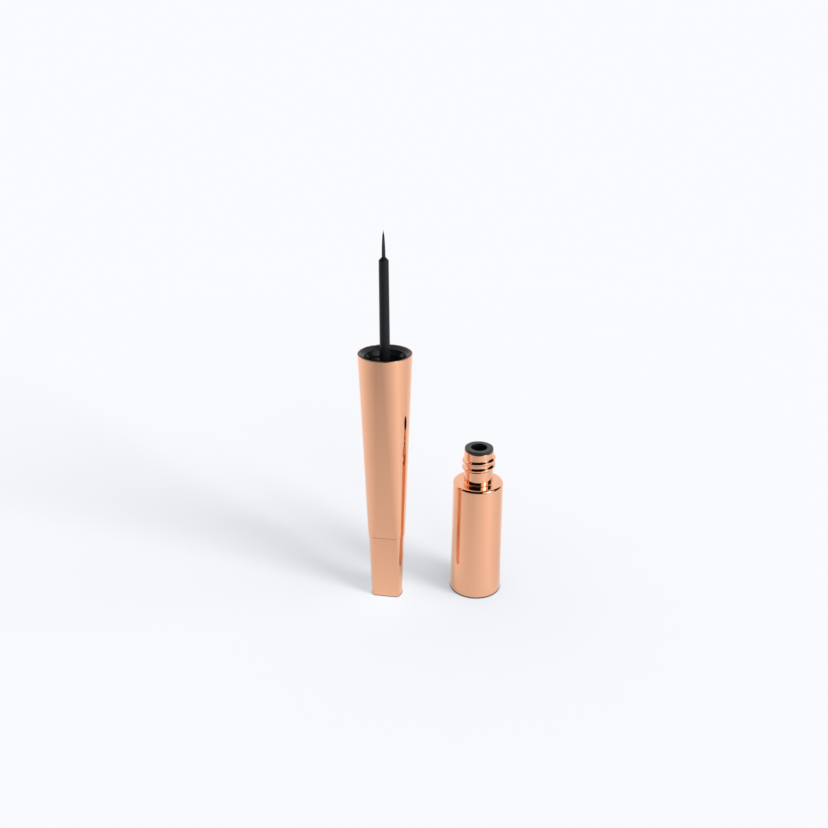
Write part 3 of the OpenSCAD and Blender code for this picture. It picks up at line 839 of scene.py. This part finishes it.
def make_wiper(tree, material):
    cone_top = WIPER_END + WIPER_LIP_H + WIPER_CONE_H
    lip_top = WIPER_END + WIPER_LIP_H
    corners = [
        (WIPER_TUBE_R, NECK_TOP, KEEN, 0),
        (WIPER_FLANGE_R, NECK_TOP, CRISP, 0),
        (WIPER_FLANGE_R, WIPER_TOP, WIPER_RIM_EDGE, 0),
        (WIPER_MOUTH_R, WIPER_TOP, FULL, 0),
        (WIPER_MOUTH_R, cone_top, BROAD, 0),
        (WIPER_ORIFICE_R, lip_top, EASED, 0),
        (WIPER_ORIFICE_R, WIPER_END, THIN, 0),
        (WIPER_ORIFICE_R + WIPER_LIP_T, WIPER_END, THIN, 0),
        (WIPER_ORIFICE_R + WIPER_LIP_T, lip_top, SMALL, 0),
        (WIPER_TUBE_R, cone_top, SOFT, 0),
    ]
    mesh = revolved_mesh("wiper_moulding", rounded(corners, steps=5), closed=True, columns=160)
    return grown("wiper_moulding", mesh, tree, {"Material": material})


def shell_half(height):
    return MOUTH_R - (MOUTH_R - SEAM_HALF) * (MOUTH_Z - height) / (MOUTH_Z - SEAM_Z)


def end_half(height):
    return END_HALF + (SEAM_HALF - SEAM_STEP - END_HALF) * height / SEAM_Z


def section_values(end, half, middle, side_r, edge_r, side_turn):
    """What the loft tree needs for the section at its low or high end."""
    lengths = {"half width": half, "middle": middle, "side radius": side_r, "edge radius": edge_r}
    values = {f"{end} {measure}": length * MM for measure, length in lengths.items()}
    return values | {f"{end} side turn": side_turn}


def make_handle_shell(tree, material):
    bore_z = MOUTH_Z - CAP_DEPTH - SNUG
    recess_z = MOUTH_Z - CAP_LIP_T - SNUG
    corners = [
        (SEAM_HALF, SEAM_Z, SEAM_ROUNDING, 0),
        (MOUTH_R, MOUTH_Z, RIM_EDGE, 0),
        (MOUTH_R - RIM_W, MOUTH_Z, RIM_INNER_EDGE, 1),
        (MOUTH_R - RIM_W, recess_z, KEEN, 1),
        (CAP_BODY_R + SNUG, recess_z, KEEN, 1),
        (CAP_BODY_R + SNUG, bore_z, KEEN, 1),
        (shell_half(bore_z) - SHELL_WALL, bore_z, 0, 0),
        (SEAM_HALF - SHELL_WALL, SEAM_Z, CRISP, 0),
    ]
    outline = with_rows(rounded(corners, steps=6), SEAM_Z, MOUTH_Z, SHELL_ROW)
    values = {
        "Low height": SEAM_Z * MM,
        "High height": MOUTH_Z * MM,
        "Side power": SIDE_POWER,
        "Edge power": EDGE_POWER,
        "Least edge radius": LEAST_EDGE_R * MM,
        "Material": material,
    }
    values |= section_values("Low", SEAM_HALF, SEAM_MIDDLE, SEAM_SIDE_R, SEAM_EDGE_R, SEAM_SIDE_TURN)
    values |= section_values("High", MOUTH_R, 0.0, MOUTH_R, MOUTH_R, SEAM_SIDE_TURN)
    mesh = section_mesh("handle_shell_moulding", outline, shell_half)
    piece = grown("handle_shell_moulding", mesh, tree, values)
    return stand_on_handle(piece)


def make_handle_end(tree, material):
    spigot_top = SEAM_Z + SPIGOT_LEN
    spigot_inset = SHELL_WALL + SNUG
    hollow_inset = spigot_inset + SHELL_WALL
    seam = SEAM_HALF - SEAM_STEP
    corners = [
        (0, 0, 0, 1),
        (END_HALF, 0, END_ROUNDING, 0),
        (seam, SEAM_Z, SEAM_ROUNDING, 0),
        (shell_half(SEAM_Z) - spigot_inset, SEAM_Z, KEEN, 0),
        (shell_half(spigot_top) - spigot_inset, spigot_top, SMALL, 0),
        (shell_half(spigot_top) - hollow_inset, spigot_top, SMALL, 0),
        (shell_half(SEAM_Z) - hollow_inset, SEAM_Z, 0, 0),
        (end_half(END_FLOOR) - SHELL_WALL, END_FLOOR, BROAD, 0),
        (0, END_FLOOR, 0, 1),
    ]
    outline = with_rows(rounded(corners, steps=6), 0, SEAM_Z, END_ROW)
    values = {
        "Low height": 0.0,
        "High height": SEAM_Z * MM,
        "Side power": 1.0,
        "Edge power": 1.0,
        "Least edge radius": LEAST_EDGE_R * MM,
        "Material": material,
    }
    side_r, edge_r = SEAM_SIDE_R - SEAM_STEP, SEAM_EDGE_R - SEAM_STEP
    values |= section_values("Low", END_HALF, END_MIDDLE, END_SIDE_R, END_EDGE_R, END_SIDE_TURN)
    values |= section_values("High", seam, SEAM_MIDDLE, side_r, edge_r, SEAM_SIDE_TURN)
    mesh = section_mesh("handle_end_moulding", outline, end_half)
    piece = grown("handle_end_moulding", mesh, tree, values)
    return stand_on_handle(piece)


def make_inner_cap(tree, material):
    top = MOUTH_Z
    ceiling = top - CAP_CEILING
    lead_in = top - CAP_LEAD_IN
    cone_end = lead_in - CAP_LEAD_CONE
    corners = [
        (PLUG_R + SNUG, top - BOSS_DEPTH, CRISP, 0),
        (BOSS_R, top - BOSS_DEPTH, EASED, 0),
        (BOSS_R, top - CAP_DEPTH, SOFT, 0),
        (CAP_BODY_R, top - CAP_DEPTH, SOFT, 0),
        (CAP_BODY_R, top - CAP_LIP_T, CRISP, 0),
        (CAP_LIP_R, top - CAP_LIP_T, CRISP, 0),
        (CAP_LIP_R, top, CAP_LIP_EDGE, 0),
        (CAP_LIP_R - CAP_LIP_EDGE - CAP_LIP_LAND, top, SMALL, 0),
        (CAP_LIP_BORE_R, top - CAP_FUNNEL, FULL, 0),
        (CAP_LIP_BORE_R, lead_in, SMALL, 0),
        (CAP_BORE_R, cone_end, BROAD, 0),
        (CAP_BORE_R, ceiling, FULL, 0),
        (PLUG_R + SNUG, ceiling, FINE, 0),
    ]
    outline = with_rows(rounded(corners, steps=6), ceiling + BROAD, cone_end, THREAD_ROW)
    mesh = revolved_mesh("inner_cap_moulding", outline, closed=True, columns=200)
    start_z = top - CAP_THREAD_DEPTH - THREAD_PITCH * CAP_THREAD_TURNS
    values = thread_values(start_z, 0.0, CAP_THREAD_TURNS, -CAP_RIDGE, CAP_BORE_R)
    piece = grown("inner_cap_moulding", mesh, tree, values | {"Material": material})
    return stand_on_handle(piece)


def make_stem(tree, material):
    flange_top = CEILING_Z + STEM_FLANGE_T
    hole_end = NOSE_Z - NOSE_HOLE_LEN
    corners = [
        (STEM_BORE_R, CEILING_Z - PLUG_LEN, CRISP, 0),
        (PLUG_R, CEILING_Z - PLUG_LEN, FULL, 0),
        (PLUG_R, CEILING_Z, KEEN, 0),
        (STEM_FLANGE_R, CEILING_Z, CRISP, 0),
        (STEM_FLANGE_R, flange_top, EASED, 0),
        (STEM_R, flange_top, FULL, 0),
        (STEM_TIP_R, NOSE_Z - STEM_NOSE_LEN, BROAD, 0),
        (STEM_NOSE_R, NOSE_Z, FINE, 0),
        (NOSE_HOLE_R, NOSE_Z, KEEN, 0),
        (NOSE_HOLE_R, hole_end, CRISP, 0),
        (STEM_BORE_R, hole_end - (STEM_BORE_R - NOSE_HOLE_R), SMALL, 0),
    ]
    outline = with_rows(rounded(corners, guard=0.02, steps=6), flange_top, NOSE_Z, STEM_ROW)
    mesh = revolved_mesh("stem_moulding", outline, closed=True, columns=96)
    return stand_on_handle(grown("stem_moulding", mesh, tree, {"Material": material}))


def make_bristles(tree, material):
    root_z = NOSE_Z - TUFT_ROOT
    values = {
        "Strands": STRANDS,
        "Root radius": (TUFT_R - STRAND_R) * MM,
        "Root height": root_z * MM,
        "Length": (TIP_Z + STRAND_OVERRUN - root_z) * MM,
        "Strand radius": STRAND_R * MM,
        "Shortest share": SHORTEST_STRAND_SHARE,
        "Seed": BRISTLE_SEED,
        "Material": material,
    }
    return stand_on_handle(grown("brush_bristles", new_mesh("brush_bristles", [], []), tree, values))


# Studio


def azimuth_of(tree, xyz):
    """The azimuth of a direction or a place, which is 0 on the camera's side and grows to the right."""
    toward = add_node(tree, "ShaderNodeMath", {0: xyz["Y"], 1: -1.0}, operation="MULTIPLY")[0]
    return add_node(tree, "ShaderNodeMath", {0: xyz["X"], 1: toward}, operation="ARCTAN2")[0]


def light_studio():
    """A pale studio. Its world gives an even light. In reflections it shows white behind the object, a dark
    room on the camera's side, and a soft screen with a hot core at the front right. Three lamps, broad enough
    for a soft shadow, stand to the camera's right."""
    world = bpy.data.worlds.new("studio")
    bpy.context.scene.world = world
    world.use_nodes = True
    tree = world.node_tree
    tree.nodes.clear()
    direction = add_node(tree, "ShaderNodeTexCoord")["Generated"]
    xyz = add_node(tree, "ShaderNodeSeparateXYZ", {0: direction})
    azimuth = azimuth_of(tree, xyz)
    elevation = add_node(tree, "ShaderNodeMath", {0: xyz["Z"]}, operation="ARCSINE")[0]
    soft = math.radians(ROOM_SOFTNESS)
    room = 1.0
    for angle, edge, before in ((azimuth, ROOM_LEFT, 0), (azimuth, ROOM_RIGHT, 1), (elevation, ROOM_LOW, 0)):
        inputs = {
            "Value": angle,
            "From Min": math.radians(edge) - soft,
            "From Max": math.radians(edge) + soft,
            "To Min": before,
            "To Max": 1 - before,
        }
        side = add_node(tree, "ShaderNodeMapRange", inputs, interpolation_type="SMOOTHSTEP")["Result"]
        room = add_node(tree, "ShaderNodeMath", {0: room, 1: side}, operation="MULTIPLY")[0]
    glow = add_node(
        tree, "ShaderNodeMix", {0: room, 6: linear(WHITE), 7: linear(ROOM_COLOUR)}, data_type="RGBA"
    )[2]

    screen_azimuth = math.radians(SCREEN_AZIMUTH)
    screen_elevation = math.radians(SCREEN_ELEVATION)
    screen_way = (
        math.sin(screen_azimuth) * math.cos(screen_elevation),
        -math.cos(screen_azimuth) * math.cos(screen_elevation),
        math.sin(screen_elevation),
    )
    nearness = add_node(
        tree, "ShaderNodeVectorMath", {0: direction, 1: screen_way}, operation="DOT_PRODUCT"
    )["Value"]
    for edge, full, colour in SCREEN_GLOWS:
        near = add_node(
            tree,
            "ShaderNodeMapRange",
            {
                "Value": nearness,
                "From Min": math.cos(math.radians(edge)),
                "From Max": math.cos(math.radians(full)),
            },
            interpolation_type="SMOOTHSTEP",
        )["Result"]
        glow = add_node(tree, "ShaderNodeMix", {0: near, 6: glow, 7: colour}, data_type="RGBA")[2]
    path = add_node(tree, "ShaderNodeLightPath")
    mirrored = add_node(
        tree, "ShaderNodeMix", {0: path["Is Glossy Ray"], 6: AMBIENT, 7: glow}, data_type="RGBA"
    )[2]
    colour = add_node(
        tree,
        "ShaderNodeMix",
        {0: path["Is Camera Ray"], 6: mirrored, 7: linear(BACKGROUND)},
        data_type="RGBA",
    )[2]
    shine = add_node(tree, "ShaderNodeBackground", {"Color": colour, "Strength": 1.0})
    add_node(tree, "ShaderNodeOutputWorld", {"Surface": shine[0]})

    for name, azimuth, elevation, width, strength in LAMPS:
        lamp = bpy.data.objects.new(name, bpy.data.lights.new(name, "SUN"))
        bpy.context.scene.collection.objects.link(lamp)
        lamp.data.energy = strength
        lamp.data.angle = math.radians(width)
        lamp.rotation_euler = (math.pi / 2 - math.radians(elevation), 0, math.radians(azimuth))
        lamp.visible_glossy = False


def painted_shade_share(tree, place):
    """How brightly each spot of the table is painted where the metal sees it. This painted shade stands in
    for light lost towards the dark room at the front left, more the further it is from the bottle, and a
    little lost at the right."""
    azimuth = azimuth_of(tree, add_node(tree, "ShaderNodeSeparateXYZ", {0: place}))
    reach = add_node(tree, "ShaderNodeVectorMath", {0: place}, operation="LENGTH")["Value"]
    limits = {"From Min": NEAR_REACH, "From Max": FAR_REACH, "To Min": NEAR_LOSS, "To Max": FAR_LOSS}
    front_loss = add_node(tree, "ShaderNodeMapRange", {"Value": reach} | limits)["Result"]
    share = 1.0
    for (middle, narrow, wide), loss in ((FRONT_LOSS_AZIMUTHS, front_loss), (SIDE_LOSS_AZIMUTHS, SIDE_LOSS)):
        aside = add_node(tree, "ShaderNodeMath", {0: azimuth, 1: math.radians(middle)}, operation="SUBTRACT")
        beside = add_node(tree, "ShaderNodeMath", {0: aside[0]}, operation="ABSOLUTE")[0]
        fall = {"From Min": math.radians(narrow), "From Max": math.radians(wide), "To Min": 1, "To Max": 0}
        nearness = add_node(tree, "ShaderNodeMapRange", {"Value": beside} | fall)["Result"]
        lost = add_node(tree, "ShaderNodeMath", {0: nearness, 1: loss}, operation="MULTIPLY")[0]
        share = add_node(tree, "ShaderNodeMath", {0: share, 1: lost}, operation="SUBTRACT")[0]
    return share


def seen_directly(tree, place, path):
    """The table's plain paint. Away from the object it has the background's own colour, so no edge shows."""
    middle = (cad_box[0] + cad_box[1]) / 2
    offset = add_node(
        tree, "ShaderNodeVectorMath", {0: place, 1: (middle.x, middle.y, 0)}, operation="SUBTRACT"
    )[0]
    distance = add_node(tree, "ShaderNodeVectorMath", {0: offset}, operation="LENGTH")["Value"]
    away = add_node(
        tree,
        "ShaderNodeMapRange",
        {"Value": distance, "From Min": TABLE_PLAIN_FROM, "From Max": TABLE_PLAIN_TO},
        interpolation_type="SMOOTHSTEP",
    )["Result"]
    plain = add_node(tree, "ShaderNodeMath", {0: away, 1: path["Is Camera Ray"]}, operation="MULTIPLY")[0]
    paint = add_node(tree, "ShaderNodeBsdfDiffuse", {"Color": linear(BACKGROUND)})[0]
    glow = add_node(tree, "ShaderNodeEmission", {"Color": linear(BACKGROUND), "Strength": 1.0})[0]
    return add_node(tree, "ShaderNodeMixShader", {0: plain, 1: paint, 2: glow})[0]


def seen_in_metal(tree, place):
    """The table as the metal sees it: paint and a soft sheen, both darkened by the painted shade share."""
    share = painted_shade_share(tree, place)
    paint_colour, sheen_colour = (
        add_node(tree, "ShaderNodeMix", {0: share, 6: (0, 0, 0, 1), 7: linear(colour)}, data_type="RGBA")[2]
        for colour in (WHITE, TABLE_SHEEN)
    )
    paint = add_node(tree, "ShaderNodeBsdfDiffuse", {"Color": paint_colour})[0]
    sheen = add_node(
        tree, "ShaderNodeBsdfGlossy", {"Color": sheen_colour, "Roughness": TABLE_SHEEN_ROUGHNESS}
    )[0]
    return add_node(tree, "ShaderNodeAddShader", {0: paint, 1: sheen})[0]


def lay_table():
    """A painted table, smooth and pale. Near a foot a painted glow on it stands in for the light that the
    metal throws back, and where the two touch a painted shade line shows. Both follow the pieces when a joint
    moves."""
    half = TABLE_HALF
    corners = [(-half, -half, 0), (half, -half, 0), (half, half, 0), (-half, half, 0)]
    table = bpy.data.objects.new("floor", new_mesh("floor", corners, [(0, 1, 2, 3)]))
    bpy.context.scene.collection.objects.link(table)
    material = bpy.data.materials.new("painted_table")
    material.use_nodes = True
    tree = material.node_tree
    tree.nodes.clear()
    place = add_node(tree, "ShaderNodeTexCoord")["Object"]
    path = add_node(tree, "ShaderNodeLightPath")
    direct = seen_directly(tree, place, path)
    mirrored = seen_in_metal(tree, place)
    either = add_node(tree, "ShaderNodeMixShader", {0: path["Is Glossy Ray"], 1: direct, 2: mirrored})[0]

    hidden = []
    for reach_mm in (PAINTED_GLOW_REACH_MM, CONTACT_REACH_MM):
        openness = add_node(
            tree, "ShaderNodeAmbientOcclusion", {"Distance": reach_mm * MM}, samples=HIDDEN_SAMPLES
        )["AO"]
        share = add_node(tree, "ShaderNodeMath", {0: 1.0, 1: openness}, operation="SUBTRACT")[0]
        hidden.append(share)
    beside, touching = hidden
    seen = add_node(
        tree, "ShaderNodeMath", {0: path["Is Camera Ray"], 1: path["Is Glossy Ray"]}, operation="MAXIMUM"
    )[0]
    beside_seen = add_node(tree, "ShaderNodeMath", {0: beside, 1: seen}, operation="MULTIPLY")[0]
    # Painted glow: emission added to the table near the feet, in place of light thrown by the metal
    strength = add_node(tree, "ShaderNodeMath", {0: beside_seen, 1: PAINTED_GLOW_STRENGTH}, operation="MULTIPLY")[0]
    painted_glow = add_node(tree, "ShaderNodeEmission", {"Color": linear(BACKGROUND), "Strength": strength})[0]
    lit = add_node(tree, "ShaderNodeAddShader", {0: either, 1: painted_glow})[0]
    # Painted shade: the table is painted dark where a piece touches it
    dark = add_node(tree, "ShaderNodeBsdfDiffuse", {"Color": linear(CONTACT_SHADE_COLOUR)})[0]
    contact = add_node(
        tree,
        "ShaderNodeMapRange",
        {"Value": touching, "From Min": CONTACT_FROM, "From Max": CONTACT_FULL},
        interpolation_type="SMOOTHSTEP",
    )["Result"]
    shown = add_node(tree, "ShaderNodeMixShader", {0: contact, 1: lit, 2: dark})[0]
    add_node(tree, "ShaderNodeOutputMaterial", {"Surface": shown})
    table.data.materials.append(material)


place_camera()
bpy.context.scene.view_settings.view_transform = "Standard"
light_studio()
lay_table()

rose_gold = metallised_plastic()
gloss_black = moulded_black(
    "gloss_black_polypropylene", ("#15161A", "#1C1D21"), roughness=(0.12, 0.2), grain_mm=0.35, level=0.2
)
wiper_black = moulded_black(
    "black_low_density_polyethylene",
    ("#0D0D10", "#151519"),
    roughness=(0.28, 0.38),
    grain_mm=0.25,
    level=0.45,
)
satin_black = moulded_black(
    "satin_black_polypropylene", ("#0E0F13", "#15161B"), roughness=(0.28, 0.38), grain_mm=0.18, level=0.25
)
filament = black_filament()

lofted = loft_tree()
threaded = thread_tree()
turned = plain_tree()
tufted = bristle_tree()

pieces = [
    (make_bottle(threaded, rose_gold), "bottle", "bottle", "rose_gold"),
    (make_wiper(turned, wiper_black), "bottle", "wiper", "black_gloss"),
    (make_handle_shell(lofted, rose_gold), "handle", "handle_shell", "rose_gold"),
    (make_handle_end(lofted, rose_gold), "handle", "handle_end_piece", "rose_gold"),
    (make_inner_cap(threaded, gloss_black), "handle", "inner_cap", "black_gloss"),
    (make_stem(turned, satin_black), "handle", "applicator_stem", "black_satin"),
]
for piece, body, node, slot in pieces:
    # Diffuse rays miss the metal, because the table's own material paints a glow near the feet in place of
    # the light that the metal throws there.
    piece.visible_diffuse = slot != "rose_gold"
    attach(piece, body)
    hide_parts(node)

bristles = make_bristles(tufted, filament)
tuft_root = (HANDLE_AXIS.x, HANDLE_AXIS.y, NOSE_Z * MM)
tuft_bend_end = (HANDLE_AXIS.x, HANDLE_AXIS.y, (NOSE_Z + TUFT_BEND_SHARE * (TIP_Z - NOSE_Z)) * MM)
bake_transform(bristles, "handle", "brush", start=tuft_root, end=tuft_bend_end)
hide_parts("brush_tuft")

for node, material in {
    "liner_fluid": wet_liner(),
    "sealing_washer": closed_cell_foam(),
    "brush_ferrule": natural_acetal(),
}.items():
    nodes[node].data.materials.clear()
    nodes[node].data.materials.append(material)
